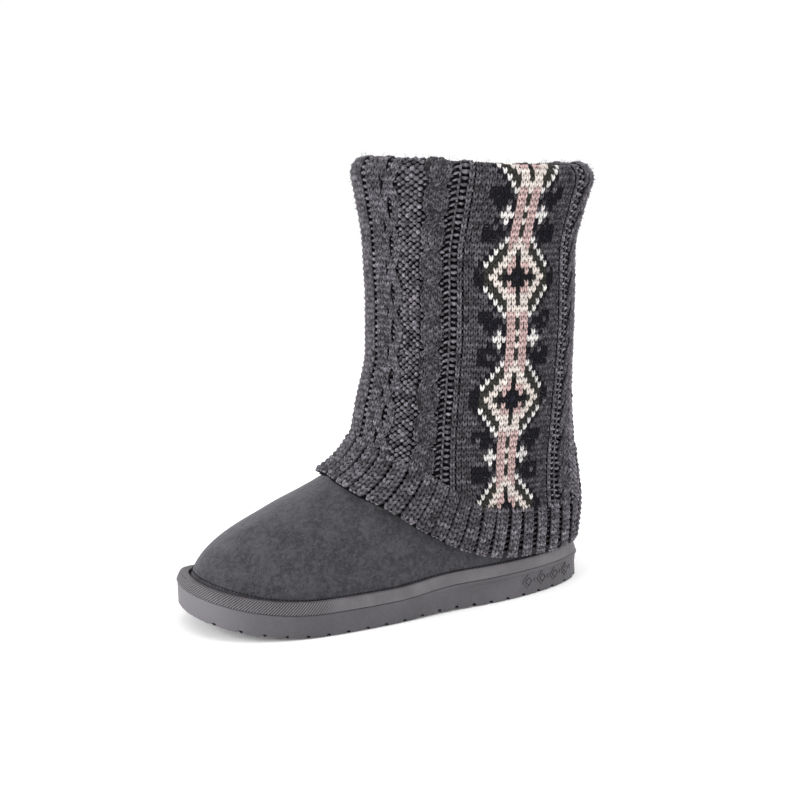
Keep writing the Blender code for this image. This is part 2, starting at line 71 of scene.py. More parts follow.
class Finish:
    """A material that is built node by node in front of one Principled shader."""

    def __init__(self, name, roughness, **values):
        self.material = bpy.data.materials.new(name)
        self.material.use_nodes = True
        self.tree = self.material.node_tree
        self.shader = self.tree.nodes["Principled BSDF"]
        self.put(self.shader, {"Roughness": roughness, **values})

    def put(self, node, values):
        for key, value in values.items():
            socket = node.inputs[key]
            if isinstance(value, Shade):
                self.tree.links.new(value.socket, socket)
            else:
                socket.default_value = value

    def add(self, kind, settings, values, output=0):
        node = self.tree.nodes.new(kind)
        for key, value in settings.items():
            setattr(node, key, value)
        self.put(node, values)
        return Shade(self, node.outputs[output])

    def place(self):
        return self.add("ShaderNodeTexCoord", {}, {}, output="Object")

    def carried(self, name, output="Fac"):
        """A value that the points of the piece carry."""
        return self.add("ShaderNodeAttribute", {"attribute_name": name}, {}, output)

    def cloud(self, scale, detail=2.0, roughness=0.5):
        """Soft noise from 0 to 1."""
        values = {"Vector": self.place(), "Scale": scale, "Detail": detail, "Roughness": roughness}
        return self.add("ShaderNodeTexNoise", {}, values)

    def between(self, share, low, high):
        """0 below low, 1 above high, smooth in between."""
        values = {"Value": share, "From Min": low, "From Max": high}
        return self.add("ShaderNodeMapRange", {"interpolation_type": "SMOOTHSTEP"}, values)

    def blend(self, share, first, second):
        """A mix of two colours."""
        settings = {"data_type": "RGBA", "clamp_factor": True}
        return self.add("ShaderNodeMix", settings, {0: share, 6: first, 7: second}, output=2)

    def dim(self, colour, share):
        """A colour times a number."""
        return self.add("ShaderNodeVectorMath", {"operation": "SCALE"}, {0: colour, "Scale": share})

    def relief(self, height, distance):
        """Puts a height, in shares of distance, on the surface."""
        values = {"Height": height, "Distance": distance, "Strength": 1.0}
        self.put(self.shader, {"Normal": self.add("ShaderNodeBump", {}, values)})

    def colour(self, shade):
        self.put(self.shader, {"Base Color": shade})


def tone(red, green, blue):
    """A colour of the screen, 0 to 255, as light."""
    light = []
    for part in (red, green, blue):
        share = part / 255
        light.append(share / 12.92 if share < 0.04045 else ((share + 0.055) / 1.055) ** 2.4)
    return (*light, 1.0)


bpy.ops.mesh.primitive_circle_add(vertices=96, radius=40, fill_type="NGON")
floor = bpy.context.object
floor.name = "floor"
floor_finish = Finish("pale floor", 0.9)
floor_finish.colour(floor_finish.blend(
    floor_finish.cloud(3.0), (0.97, 0.97, 0.97, 1), (0.98, 0.98, 0.98, 1)
))
floor.data.materials.append(floor_finish.material)

room = bpy.data.worlds.new("pale room")
room.use_nodes = True
sky = room.node_tree.nodes["Background"]
sky.inputs["Color"].default_value = (1.0, 1.0, 1.0, 1)
sky.inputs["Strength"].default_value = 1.03
bpy.context.scene.world = room
bpy.context.scene.view_settings.view_transform = "Standard"

LAMP_AIM = Vector((0, 0, 0.12))
for name, place, width, power in (
    ("toe light", (1.9, 0.25, 0.75), 1.5, 38.0),
    ("top light", (-0.2, 0.5, 2.2), 1.4, 6.0),
    ("heel light", (-1.7, 1.1, 0.9), 1.8, 20.0),
):
    bpy.ops.object.light_add(type="AREA", location=place)
    lamp = bpy.context.object
    lamp.name = name
    lamp.data.shape = "SQUARE"
    lamp.data.size = width
    lamp.data.energy = power
    lamp.visible_camera = False
    lamp.rotation_euler = (LAMP_AIM - lamp.location).to_track_quat("-Z", "Y").to_euler()

CAMERA_TURN = math.radians(25.5)
CAMERA_RISE = math.radians(12.0)
CAMERA_ROLL = math.radians(0.5)
CAMERA_AIM = Vector((0.0029, 0.0002, 0.13))
CAMERA_AWAY = 0.9
CAMERA_LENS = 63.0
CAMERA_SENSOR = 36.0
CAMERA_SHIFT = (0.0175, 0.00375)

bpy.ops.object.camera_add()
camera = bpy.context.object
back = Vector((
    math.sin(CAMERA_TURN) * math.cos(CAMERA_RISE),
    math.cos(CAMERA_TURN) * math.cos(CAMERA_RISE),
    math.sin(CAMERA_RISE),
))
level_right = Vector((0, 0, 1)).cross(back).normalized()
level_up = back.cross(level_right)
right = math.cos(CAMERA_ROLL) * level_right - math.sin(CAMERA_ROLL) * level_up
up = math.sin(CAMERA_ROLL) * level_right + math.cos(CAMERA_ROLL) * level_up
turned = Matrix((right, up, back)).transposed().to_4x4()
camera.matrix_world = Matrix.Translation(CAMERA_AIM + CAMERA_AWAY * back) @ turned
camera.data.lens = CAMERA_LENS
camera.data.sensor_width = CAMERA_SENSOR
camera.data.shift_x, camera.data.shift_y = CAMERA_SHIFT
bpy.context.scene.camera = camera


# Outsole: one moulded unit of light foamed rubber, dark grey and matt, with a shallow panel from
# the waist to the heel and tread grooves that show as notches. It is moulded before lasting.

def only(piece):
    """Selects one piece and nothing else."""
    bpy.ops.object.select_all(action="DESELECT")
    piece.select_set(True)
    bpy.context.view_layer.objects.active = piece


def welded(node, name):
    """A piece with the shape of a CAD node, its loose triangles welded into one skin."""
    piece = bpy.data.objects.new(name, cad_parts[node].data.copy())
    bpy.context.scene.collection.objects.link(piece)
    piece.data.materials.clear()
    only(piece)
    bpy.ops.mesh.customdata_custom_splitnormals_clear()
    bpy.ops.object.mode_set(mode="EDIT")
    bpy.ops.mesh.select_all(action="SELECT")
    bpy.ops.mesh.remove_doubles(threshold=0.00001)
    bpy.ops.object.mode_set(mode="OBJECT")
    return piece


def finish_with(piece, kind, **settings):
    """Adds a modifier and applies it."""
    step = piece.modifiers.new(kind.lower(), kind)
    for key, value in settings.items():
        setattr(step, key, value)
    only(piece)
    bpy.ops.object.modifier_apply(modifier=step.name)


def hand_over(piece, material, slot, *nodes):
    """Gives a finished piece its material and its place on the frame."""
    piece.data.materials.append(material)
    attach(piece, "root")
    if nodes:
        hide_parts(*nodes)


def facing_out(piece):
    """Turns every face of a piece outwards."""
    only(piece)
    bpy.ops.object.mode_set(mode="EDIT")
    bpy.ops.mesh.select_all(action="SELECT")
    bpy.ops.mesh.normals_make_consistent(inside=False)
    bpy.ops.object.mode_set(mode="OBJECT")


def into_quads(degrees):
    """Joins the selected triangles in pairs, where they lie within an angle of each other."""
    turn = math.radians(degrees)
    bpy.ops.mesh.tris_convert_to_quads(face_threshold=turn, shape_threshold=turn)


def skin_of(piece):
    """The surface of a piece, for rays."""
    spots = [vert.co.copy() for vert in piece.data.vertices]
    return BVHTree.FromPolygons(spots, [tuple(face.vertices) for face in piece.data.polygons])


def spots_and_facing(mesh):
    """The points of a mesh and the way that each looks."""
    spots = np.array([vert.co for vert in mesh.vertices])
    return spots, np.array([vert.normal for vert in mesh.vertices])


def walked_along(line):
    """The distance along a line of points to each of them."""
    steps = np.linalg.norm(np.diff(line, axis=0), axis=1)
    return np.concatenate([[0], np.cumsum(steps)])


RAY_START = 0.2
SHARP_EDGE = math.radians(40)

outsole = welded("outsole", "rubber_outsole")
finish_with(outsole, "BEVEL", width=0.0005, segments=2, limit_method="ANGLE", angle_limit=SHARP_EDGE)
bpy.ops.object.shade_smooth_by_angle(angle=math.radians(35))

rubber = Finish("sole rubber", 0.62)
grain = rubber.cloud(1400.0, 3.0)
smudge = rubber.cloud(38.0, 4.0, 0.6)
rubber_shade = rubber.blend(rubber.between(smudge, 0.35, 0.7), tone(64, 62, 66), tone(76, 73, 78))
# Painted light: the rubber is painted lighter towards the toe, where the toe light falls on it.
ahead = rubber.add("ShaderNodeSeparateXYZ", {}, {0: rubber.place()}, output=0)
rubber_shade = rubber.blend(rubber.between(ahead, 0.095, 0.142), rubber_shade, tone(94, 91, 96))
speckle = rubber.between(grain, 0.45, 0.75) * 0.25
rubber.colour(rubber.blend(speckle, rubber_shade, tone(104, 101, 104)))
rubber.relief(grain * 0.4 + rubber.cloud(260.0, 2.0) * 0.6, 0.00012)
hand_over(outsole, rubber.material, "sole_rubber", "outsole")

# Inside the tread grooves the rubber is painted near black and dull: painted shade. A face lies in a
# groove where a ray ahead of it, or leaning to the toe or heel, meets a wall within reach.
GROOVE_TOP = 0.022
GROOVE_REACH = 0.0034
groove_shade = Finish("groove rubber", 0.9, **{"Specular IOR Level": 0.1})
groove_shade.colour(groove_shade.blend(groove_shade.cloud(300.0), tone(14, 13, 15), tone(26, 25, 27)))
outsole.data.materials.append(groove_shade.material)
sole_skin = skin_of(outsole)
for face in outsole.data.polygons:
    rays = [face.normal + Vector((lean, 0, 0)) for lean in (-1.0, 0.0, 1.0)]
    rays = [ray.normalized() for ray in rays if ray.length >= 0.5]
    walls = [sole_skin.ray_cast(face.center + 0.00005 * ray, ray, GROOVE_REACH)[0] for ray in rays]
    if face.center.z <= GROOVE_TOP and any(wall is not None for wall in walls):
        face.material_index = 1

# Lozenges in relief on the outer side of the heel, each with a smaller one inside and a stud
# after it, laid round the heel's curve. Of each part: how far it lies past the start, half its
# width, half its height and, where it is open in the middle, the width of its band.
HEEL_MIDDLE = Vector((-0.098, 0.0, 0.0))
HEEL_LINE = 0.009
LOZENGE_START = 0.0195
LOZENGE_PITCH = 0.0125
LOZENGE_COUNT = 4
LOZENGE_HEIGHT = 0.0098
LOZENGE_THICK = 0.0009
LOZENGE_SUNK = 0.0002
LOZENGE_PARTS = (
    (0.0, 0.0046, 0.0046, 0.20),
    (0.0, 0.0021, 0.0021, 0.0),
    (0.00625, 0.0011, 0.0014, 0.0),
)
heel_turns = np.radians(np.linspace(50, 160, 90))


def on_heel(turn, height):
    """A point of the heel's side and its outward direction."""
    ray = Vector((math.cos(turn), math.sin(turn), 0))
    middle = Vector((HEEL_MIDDLE.x, HEEL_MIDDLE.y, height))
    return sole_skin.ray_cast(middle + RAY_START * ray, -ray)[:2]


heel_length = walked_along([on_heel(turn, HEEL_LINE)[0] for turn in heel_turns])
lozenges = []
for start in LOZENGE_START + LOZENGE_PITCH * np.arange(LOZENGE_COUNT):
    for along_side, half_wide, half_tall, band_width in LOZENGE_PARTS:
        bpy.ops.object.select_all(action="DESELECT")
        bpy.ops.mesh.primitive_circle_add(vertices=4, radius=1.0, fill_type="NGON")
        lozenge = bpy.context.object
        bpy.ops.object.mode_set(mode="EDIT")
        bpy.ops.mesh.select_all(action="SELECT")
        if band_width:
            bpy.ops.mesh.inset(thickness=band_width)
            bpy.ops.mesh.delete(type="FACE")
            bpy.ops.mesh.select_all(action="SELECT")
        bpy.ops.mesh.extrude_region_move(TRANSFORM_OT_translate={"value": (0, 0, 1)})
        bpy.ops.object.mode_set(mode="OBJECT")
        for vert in lozenge.data.vertices:
            place = start + along_side + half_wide * vert.co.x
            turn = float(np.interp(place, heel_length, heel_turns))
            spot, away = on_heel(turn, LOZENGE_HEIGHT + half_tall * vert.co.y)
            vert.co = spot + away * (LOZENGE_THICK * vert.co.z - LOZENGE_SUNK)
        facing_out(lozenge)
        lozenges.append(lozenge)
only(lozenges[0])
for lozenge in lozenges:
    lozenge.select_set(True)
bpy.ops.object.join()
relief = bpy.context.object
relief.name = "heel_lozenges"
finish_with(relief, "BEVEL", width=0.00012, segments=2, limit_method="ANGLE", angle_limit=SHARP_EDGE)
hand_over(relief, rubber.material, "sole_rubber")


# Welt: a rubber rim glued over the joint of upper and sole, lighter than the sole, with slanted
# ribs round the toe. Only what looks outwards is ribbed, and the ribs fade out at the waist.

WELT_MIDDLE = 0.06
WELT_BIN = 3
WELT_FACE_START = 0.2
WELT_FACE_FADE = 0.3
WELT_RIB_PITCH = 0.0019
WELT_RIB_LEAN = 1.0
WELT_RIB_RISE = 0.0004
WELT_RIB_END = 0.114
WELT_RIB_FADE = 0.022

welt = welded("welt", "rubber_welt")
bpy.ops.object.mode_set(mode="EDIT")
bpy.ops.mesh.select_mode(type="EDGE")
bpy.ops.mesh.select_all(action="SELECT")
into_quads(60)
bpy.ops.mesh.select_all(action="DESELECT")
bpy.ops.mesh.edges_select_sharp(sharpness=math.radians(42))
bpy.ops.transform.edge_crease(value=0.9)
bpy.ops.object.mode_set(mode="OBJECT")
finish_with(welt, "SUBSURF", levels=2, render_levels=2)


def ribs_of(mesh):
    """Of each point of the rim: where it is, how it looks, its rib from the toe, its ribbing."""
    spots, facing = spots_and_facing(mesh)
    away = spots[:, :2] - [WELT_MIDDLE, 0]
    reach = np.linalg.norm(away, axis=1)
    degrees = np.degrees(np.arctan2(away[:, 1], away[:, 0]))
    past = np.zeros(len(spots))
    low = np.zeros(len(spots))
    for side in (-1, 1):
        here = degrees * side >= 0
        bins = np.arange(0, 181, WELT_BIN)
        near = [np.abs(degrees[here] - side * spot) < WELT_BIN for spot in bins]
        edge = np.array([reach[here][group].max() for group in near])
        bottom = np.array([spots[here, 2][group].min() for group in near])
        rays = np.stack([np.cos(np.radians(bins)), np.sin(np.radians(bins))], axis=-1)
        past[here] = np.interp(np.abs(degrees[here]), bins, walked_along(edge[:, None] * rays))
        low[here] = np.interp(np.abs(degrees[here]), bins, bottom)
    outward = np.einsum("ij,ij->i", facing[:, :2], away) / reach
    share = np.clip((outward - WELT_FACE_START) / WELT_FACE_FADE, 0, 1)
    share = share * np.clip((WELT_RIB_END - past) / WELT_RIB_FADE, 0, 1)
    return spots, facing, (past - WELT_RIB_LEAN * (spots[:, 2] - low)) / WELT_RIB_PITCH, share


# The ribbed part gets a finer mesh before its ribs are raised.
share = ribs_of(welt.data)[3]
bpy.ops.object.mode_set(mode="EDIT")
bpy.ops.mesh.select_mode(type="FACE")
bpy.ops.mesh.select_all(action="DESELECT")
bpy.ops.object.mode_set(mode="OBJECT")
for face in welt.data.polygons:
    face.select = bool(max(share[vert] for vert in face.vertices) > 0)
bpy.ops.object.mode_set(mode="EDIT")
bpy.ops.mesh.subdivide(number_cuts=2)
bpy.ops.object.mode_set(mode="OBJECT")
spots, facing, ribs, share = ribs_of(welt.data)
moved = spots + facing * (0.5 * WELT_RIB_RISE * np.cos(2 * math.pi * ribs) * share)[:, None]
welt.data.vertices.foreach_set("co", moved.astype(np.float32).ravel())
for name, values in (("rib", ribs), ("ribbed", share)):
    layer = welt.data.attributes.new(name, "FLOAT", "POINT")
    layer.data.foreach_set("value", values.astype(np.float32))
welt.data.update()
only(welt)
bpy.ops.object.shade_smooth_by_angle(angle=math.radians(50))

rim = Finish("welt rubber", 0.55)
ribbed = rim.carried("ribbed")
rib = rim.carried("rib")
wave = rib.maths("COSINE", rib * (2 * math.pi))
patch = rim.between(rim.cloud(60.0, 3.0), 0.35, 0.7)
smooth_shade = rim.blend(patch, tone(74, 71, 75), tone(88, 85, 89))
# Painted shade: the ribbed part is painted darker all over, for the shade in the gaps of its ribs.
rim_shade = rim.blend(ribbed, smooth_shade, rim.blend(patch, tone(60, 58, 62), tone(72, 69, 73)))
rim_speckle = rim.between(rim.cloud(1500.0), 0.5, 0.75) * 0.2
rim_shade = rim.blend(rim_speckle, rim_shade, tone(104, 101, 105))
# A painted highlight on the crests of the ribs, and painted shade, near black, in their hollows.
ridge_highlight = rim.between(wave, 0.2, 1.0) * ribbed * 0.55
rim_shade = rim.blend(ridge_highlight, rim_shade, tone(122, 119, 123))
rim.colour(rim.blend(rim.between(0 - wave, 0.1, 0.9) * ribbed, rim_shade, tone(24, 23, 25)))
rim.relief(rim.cloud(900.0, 3.0), 0.0001)
hand_over(welt, rim.material, "welt_rubber", "welt")


# Upper: foot and shaft of dark grey suede, lasted over the foot and closed under the welt. It is
# brushed, so the nap lies in soft patches, and it folds a little where the toes bend.

upper = welded("upper", "suede_upper")
skin_tree = skin_of(upper)
bpy.ops.object.mode_set(mode="EDIT")
bpy.ops.mesh.select_all(action="SELECT")
into_quads(50)
bpy.ops.object.mode_set(mode="OBJECT")
finish_with(upper, "SUBSURF", levels=2, render_levels=2)
bpy.ops.object.shade_smooth()

# Creases over the ball and beside it. Each place is a distance along the foot and the angle in
# degrees from straight up towards the outer side; then the depth of the trough and its width.
# A lip stands up on either side of the trough.
CREASE_CORE = 0.03
CREASE_LIP = 0.45
CREASE_LIP_AT = 2.1
CREASES = (
    (((0.078, 78), (0.066, 55), (0.057, 32), (0.054, 20)), 0.0008, 0.0042),
    (((0.058, 82), (0.046, 62), (0.037, 40), (0.034, 24)), 0.0009, 0.0048),
    (((0.040, 80), (0.030, 66), (0.026, 48)), 0.0007, 0.0040),
    (((0.092, -72), (0.078, -58), (0.070, -44)), 0.0008, 0.0045),
    (((0.064, -78), (0.052, -62), (0.044, -46)), 0.0007, 0.0045),
    (((0.110, 55), (0.105, 36), (0.103, 22)), 0.0006, 0.0050),
)
skin_points, skin_facing = spots_and_facing(upper.data)
from_core = skin_points[:, 1:] - [0, CREASE_CORE]
outside = np.einsum("ij,ij->i", skin_facing[:, 1:], from_core) > 0
push = np.zeros(len(skin_points))
for places, trough, width in CREASES:
    line = []
    for x, turn in places:
        ray = Vector((0, math.sin(math.radians(turn)), math.cos(math.radians(turn))))
        core = Vector((x, 0, CREASE_CORE))
        line.append(skin_tree.ray_cast(core + RAY_START * ray, -ray)[0])
    away = np.full(len(skin_points), 1.0)
    for start, end in zip(line, line[1:]):
        start, step = np.array(start), np.array(end - start)
        share = np.clip((skin_points - start) @ step / (step @ step), 0, 1)
        away = np.minimum(away, np.linalg.norm(skin_points - start - share[:, None] * step, axis=1))
    lip = CREASE_LIP * np.exp(-(((away - CREASE_LIP_AT * width) / width) ** 2))
    push += trough * (lip - np.exp(-((away / width) ** 2)))
moved = skin_points + skin_facing * (push * outside)[:, None]
upper.data.vertices.foreach_set("co", moved.astype(np.float32).ravel())
upper.data.update()

suede = Finish("suede", 0.95, **{"Specular IOR Level": 0.3})
suede.put(suede.shader, {
    "Sheen Weight": 0.3, "Sheen Roughness": 0.45, "Sheen Tint": (0.7, 0.7, 0.75, 1),
})
nap = suede.between(suede.cloud(85.0, 4.0, 0.62), 0.38, 0.66)
strokes = suede.between(suede.cloud(340.0, 4.0, 0.65), 0.42, 0.7)
flecks = suede.between(suede.cloud(900.0, 3.0, 0.65), 0.35, 0.75)
suede_shade = suede.blend(nap, tone(36, 35, 38), tone(54, 53, 57))
suede_shade = suede.blend(strokes * 0.6, suede_shade, tone(68, 67, 72))
suede.colour(suede.blend(flecks * 0.4, suede_shade, tone(78, 77, 82)))
pile = suede.cloud(2600.0, 2.0, 0.7) * 0.35 + suede.cloud(600.0, 3.0, 0.6) * 0.35
suede.relief(pile + nap * 0.3, 0.0006)

lining = Finish("lining fleece", 0.95)
tufts = lining.between(lining.cloud(300.0, 3.0), 0.35, 0.7)
lining.colour(lining.blend(tufts, tone(52, 50, 53), tone(84, 81, 84)))
lining.relief(lining.cloud(900.0, 3.0, 0.7), 0.0009)

# The lining is what faces another part of the wall. Rays start past the wall's own thickness.
PAST_WALL = 0.0026
hand_over(upper, suede.material, "suede", "upper")
upper.data.materials.append(lining.material)
for face in upper.data.polygons:
    hit = skin_tree.ray_cast(face.center + face.normal * PAST_WALL, face.normal, 2 * RAY_START)
    if hit[0] is not None:
        face.material_index = 1


# Insole: a board with a cloth sock glued on, laid in when the sole is on. The cloth is woven on
# the slant in two pale greys.

insole = welded("insole", "cloth_insole")
finish_with(insole, "SUBSURF", levels=1, render_levels=1)
bpy.ops.object.shade_smooth_by_angle(angle=math.radians(40))

cloth = Finish("insole cloth", 0.9)
threads = cloth.add(
    "ShaderNodeTexWave", {"wave_type": "BANDS", "bands_direction": "DIAGONAL"},
    {"Vector": cloth.place(), "Scale": 420.0, "Distortion": 1.0}, output="Fac",
)
weave = threads * 0.6 + cloth.cloud(200.0) * 0.3
cloth.colour(cloth.blend(weave, tone(112, 107, 102), tone(160, 154, 147)))
cloth.relief(threads, 0.0003)
hand_over(insole, cloth.material, "insole_cloth", "insole")


# Knitted sleeve: thick heather yarn, knitted round with cables and a band of diamonds on the
# outer side, ribbed at the hem, rolled over the collar and sewn down inside.

GIRTH = 0.406
HALF_GIRTH = GIRTH / 2
WALES = 133
WALE = GIRTH / WALES
COURSE = 0.00384
PANEL_FROM_BACK = 0.099
EVEN_PART = 0.125
KNIT_FACE = 0.0055
BASE_DEPTH = 0.0034
SHAFT_AXIS = Vector((-0.0586, 0.0002, 0.0))
COLLAR_TOP = 0.287
COLLAR_RISE = 0.0100
COLLAR_SWELL = 0.0030
SWELL_LENGTH = 0.045
COLLAR_GAP = 0.0003
ROLL_LOWER = 0.0012
FOLD_DEPTH = 0.0059
FOLD_LENGTH = 0.033
WALL_POINTS = 340
ROLL_POINTS = 40
FOLD_POINTS = 20
RIB_BAND = 0.0275
RIB_COUNT = 40

# The collar, by the share of the way round from the front over the outer side: its sag as a
# share of COLLAR_RISE and its swelling as a share of COLLAR_SWELL.
COLLAR_LINE = (
    (0.00, 0.00, 1.0),
    (0.12, 0.08, 1.0),
    (0.25, 0.45, 1.2),
    (0.38, 0.62, 1.9),
    (0.50, 0.75, 2.4),
    (0.62, 1.00, 1.9),
    (0.75, 1.00, 1.2),
    (0.88, 0.50, 1.0),
    (1.00, 0.00, 1.0),
)

# Height of the hem, by the share of the way from the front to the back on either side.
HEM_LINE = (
    (0.00, 0.0866),
    (0.08, 0.0838),
    (0.16, 0.0796),
    (0.24, 0.0750),
    (0.32, 0.0696),
    (0.40, 0.0619),
    (0.48, 0.0529),
    (0.56, 0.0426),
    (0.64, 0.0343),
    (0.72, 0.0305),
    (0.84, 0.0287),
    (1.00, 0.0282),
)


def read(table, share, column=1):
    """A column of a table at a share, straight between its rows."""
    rows = np.array(table)
    return np.interp(share, rows[:, 0], rows[:, column])


def smoothed(values, spread, axis):
    """Values averaged with their neighbours; the second axis goes round."""
    reach = int(3 * spread) + 1
    weights = np.exp(-0.5 * (np.arange(-reach, reach + 1) / spread) ** 2)
    weights /= weights.sum()
    mode = "wrap" if axis == 1 else "edge"
    widths = [(reach, reach) if i == axis else (0, 0) for i in range(values.ndim)]
    padded = np.pad(values, widths, mode=mode)
    return np.apply_along_axis(np.convolve, axis, padded, weights, mode="valid")


def even_points(points, places, length):
    """Points at distances along a line of points."""
    return np.stack([np.interp(places, length, points[:, k]) for k in range(3)], axis=-1)


SKIN_TURNS = 240
SKIN_LEVELS = np.linspace(0.024, 0.2645, 98)
turns = 2 * math.pi * np.arange(SKIN_TURNS) / SKIN_TURNS
reach = np.zeros((len(SKIN_LEVELS), SKIN_TURNS))
for i, level in enumerate(SKIN_LEVELS):
    for j, turn in enumerate(turns):
        outward = Vector((math.cos(turn), math.sin(turn), 0))
        middle = Vector((SHAFT_AXIS.x, SHAFT_AXIS.y, level))
        hit = skin_tree.ray_cast(middle + 2 * RAY_START * outward, -outward)
        reach[i, j] = (hit[0] - middle).length
reach = smoothed(smoothed(reach, 2.0, 1), 1.8, 0)

# Columns of the knit, at even distances from the back's middle round over the outer side.
COLUMNS = 266
column_places = GIRTH * np.arange(COLUMNS) / COLUMNS
from_back = np.minimum(column_places, GIRTH - column_places)
outer = column_places <= HALF_GIRTH
skin = np.zeros((len(SKIN_LEVELS), COLUMNS, 3))
side_share = np.zeros((len(SKIN_LEVELS), COLUMNS))
for i, level in enumerate(SKIN_LEVELS):
    ring = np.stack([
        SHAFT_AXIS.x + reach[i] * np.cos(turns),
        SHAFT_AXIS.y + reach[i] * np.sin(turns),
        np.full(SKIN_TURNS, level),
    ], axis=-1)
    worn = ring + KNIT_FACE * np.stack([np.cos(turns), np.sin(turns), 0 * turns], axis=-1)
    half = SKIN_TURNS // 2
    outer_way = np.arange(half, -1, -1)
    inner_way = np.arange(half, SKIN_TURNS + 1) % SKIN_TURNS
    for side, order in ((True, outer_way), (False, inner_way)):
        length = walked_along(worn[order])
        here = outer == side
        nominal = from_back[here]
        front_part = np.clip((nominal - EVEN_PART) / (HALF_GIRTH - EVEN_PART), 0, 1)
        actual = nominal + (length[-1] - HALF_GIRTH) * front_part**1.4
        skin[i, here] = even_points(ring[order], actual, length)
        side_share[i, here] = 1 - actual / length[-1]

# The skin goes on straight above its last level, so that the roll has something to stand on.
skin = np.concatenate([skin, skin[-1:] + (skin[-1:] - skin[-6:-5]) * 3.0])
side_share = np.concatenate([side_share, side_share[-1:]])


def normals_of(grid):
    """Outward directions of a grid of points whose second axis goes round."""
    down = np.gradient(grid, axis=0)
    across = np.roll(grid, -1, axis=1) - np.roll(grid, 1, axis=1)
    normal = np.cross(across, down)
    return normal / np.maximum(np.linalg.norm(normal, axis=2), 1e-12)[:, :, None]


skin_out = -normals_of(skin)
if np.mean(skin_out[40, :, :2] * (skin[40, :, :2] - np.array(SHAFT_AXIS)[:2])) < 0:
    skin_out = -skin_out

# The knit's face along each column, from the fold inside over the roll and down to the hem, at
# even distances. Distance 0 is where the roll starts; it grows downwards.
STEP = 0.0015
INSIDE_ROWS = 42
ROWS = 230
along = (np.arange(ROWS) - INSIDE_ROWS) * STEP
face = np.zeros((ROWS, COLUMNS, 3))
hem_at = np.zeros(COLUMNS)
for j in range(COLUMNS):
    share = side_share[-1, j]
    turn = share / 2 if outer[j] else 1 - share / 2
    swell = COLLAR_SWELL * read(COLLAR_LINE, turn, 2)
    top = COLLAR_TOP - COLLAR_RISE * (1 + read(COLLAR_LINE, turn)) - COLLAR_GAP
    fine = np.linspace(top, SKIN_LEVELS[0], WALL_POINTS)
    level = skin[:, j, 2]
    column = np.stack([np.interp(fine, level, skin[:, j, k]) for k in range(3)], axis=-1)
    away = np.stack([np.interp(fine, level, skin_out[:, j, k]) for k in range(3)], axis=-1)
    away /= np.linalg.norm(away, axis=1)[:, None]
    fade = np.maximum(0, 1 - walked_along(column) / SWELL_LENGTH) ** 1.5
    depth = BASE_DEPTH + swell * fade
    wall = column + away * depth[:, None]
    side = np.interp(fine, level, side_share[:, j])
    below = np.nonzero(fine < read(HEM_LINE, side))[0]
    outside = BASE_DEPTH + swell
    middle = (outside - FOLD_DEPTH) / 2
    half_width = (outside + FOLD_DEPTH) / 2
    rise = column[0] - column[8]
    rise /= np.linalg.norm(rise)
    bends = np.linspace(0, math.pi, ROLL_POINTS)[1:]
    roll = (
        column[0]
        + np.outer((COLLAR_RISE - ROLL_LOWER) * np.sin(bends), rise)
        + np.outer(middle + half_width * np.cos(bends), away[0])
    )
    drops = np.linspace(0, FOLD_LENGTH, FOLD_POINTS)[1:]
    fold = column[0] - np.outer(drops, rise) - away[0] * FOLD_DEPTH
    path = np.concatenate([fold[::-1], roll[::-1], wall])
    walked = walked_along(path)
    start = walked[len(fold) + len(roll)]
    face[:, j] = even_points(path, along, walked - start)
    hem_at[j] = walked[len(fold) + len(roll) + below[0]] - start
hem_at = smoothed(hem_at[None], 2.0, 1)[0]
face_out = normals_of(face)
if np.mean(face_out[120, :, :2] * (face[120, :, :2] - np.array(SHAFT_AXIS)[:2])) < 0:
    face_out = -face_out


def on_knit(place, down, out):
    """Points of the knit, by place round the girth, distance down and height above its face."""
    u = np.mod(place, GIRTH) / GIRTH * COLUMNS
    v = np.clip((down / STEP) + INSIDE_ROWS, 0, ROWS - 1.001)
    i, j = v.astype(int), u.astype(int) % COLUMNS
    a, b = (v - i)[..., None], (u - np.floor(u))[..., None]
    k = (j + 1) % COLUMNS

    def between(grid):
        above = grid[i, j] * (1 - b) + grid[i, k] * b
        below = grid[i + 1, j] * (1 - b) + grid[i + 1, k] * b
        return above * (1 - a) + below * a

    away = between(face_out)
    away /= np.linalg.norm(away, axis=-1)[..., None]
    return between(face) + away * out[..., None]


# One leg of a stitch: a short bead, narrow at both ends, whose long way is its Z.
bpy.ops.mesh.primitive_uv_sphere_add(segments=5, ring_count=4, radius=1.0)
bead = bpy.context.object
bead.name = "bead"
bead_verts = np.array([vert.co for vert in bead.data.vertices])
bead_faces = [list(side.vertices) for side in bead.data.polygons]
bead_uv = np.array([list(spot.vector) for spot in bead.data.uv_layers.active.uv])
bpy.data.objects.remove(bead)


# Painted shade between the stitches: each bead is painted darkest where it lies lowest, at its root,
# and the more so the more of the mottle its yarn has.
ROOT_LIGHT = 0.5
ROOT_LOSS = 0.44
ROOT_FADE = 1.3


class Knitting:
    """Stitches of one part of the sleeve, gathered and then made one mesh."""

    def __init__(self, light=1.0):
        self.light = light
        self.points = []
        self.tints = []

    def add(self, place, down, out, tints):
        self.points.append(on_knit(place, down, out))
        low = out.min(axis=1, keepdims=True)
        share = (out - low) / (out.max(axis=1, keepdims=True) - low)
        root = ROOT_LIGHT - ROOT_LOSS * tints[:, 3:]
        shade = np.repeat(tints[:, None], out.shape[1], axis=1)
        shade[..., :3] *= self.light * (root + (1 - root) * share**ROOT_FADE)[..., None]
        self.tints.append(shade)


rng = np.random.default_rng(7)
YARN = {
    "heather": (*tone(107, 103, 110)[:3], 1.0),
    "W": (*tone(251, 247, 245)[:3], 0.2),
    "C": (*tone(250, 239, 232)[:3], 0.2),
    "P": (*tone(228, 197, 194)[:3], 0.45),
    "O": (*tone(62, 61, 56)[:3], 0.6),
    "K": (*tone(18, 15, 24)[:3], 0.3),
    "N": (*tone(28, 29, 50)[:3], 0.3),
    "D": (*tone(18, 14, 27)[:3], 0.5),
}

